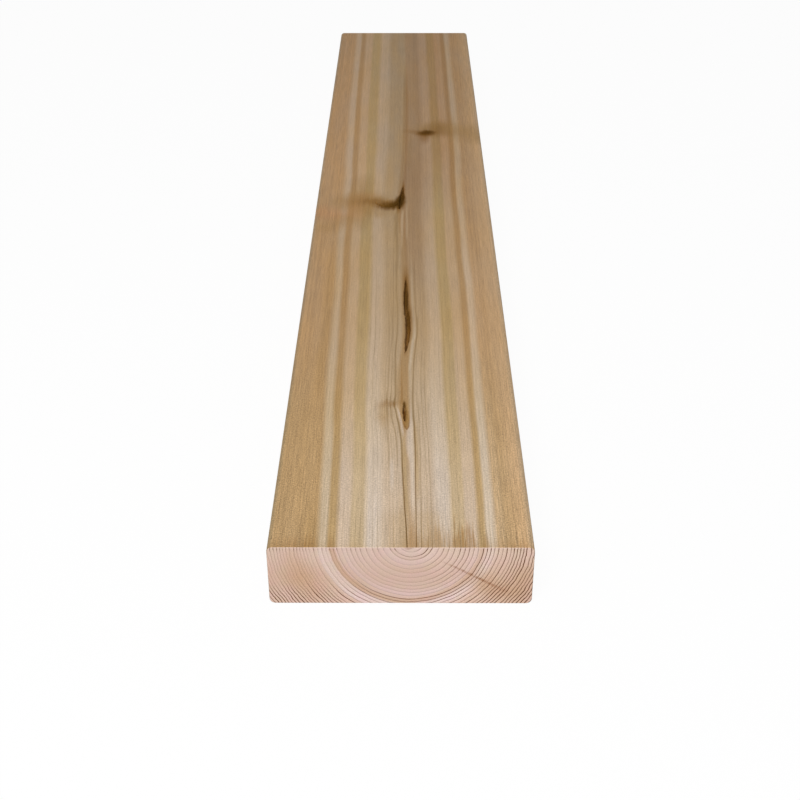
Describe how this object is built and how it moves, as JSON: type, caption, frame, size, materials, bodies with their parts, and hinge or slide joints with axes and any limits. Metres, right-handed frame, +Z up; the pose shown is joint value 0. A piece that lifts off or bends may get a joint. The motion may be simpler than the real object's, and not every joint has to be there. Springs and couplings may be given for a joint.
{
  "type": "timber plank",
  "caption": "Straight dressed softwood plank of rectangular section with eased long edges, square-sawn ends and small open knots along its pith, for decking, framing or shelving.",
  "frame": {"origin": "middle of the bottom face, which lies on the floor", "axes": "+Y along the plank's length and grain, away from the end the picture shows; +X across its width; +Z up through its thickness"},
  "size_m": [0.14, 0.914, 0.038],
  "materials": {
    "planed_softwood": "planed, unfinished, straight grain in pink, cream and golden-tan streaks, with sawn end grain"
  },
  "bodies": {
    "root": {"plank": "planed_softwood"}
  },
  "joints": []
}
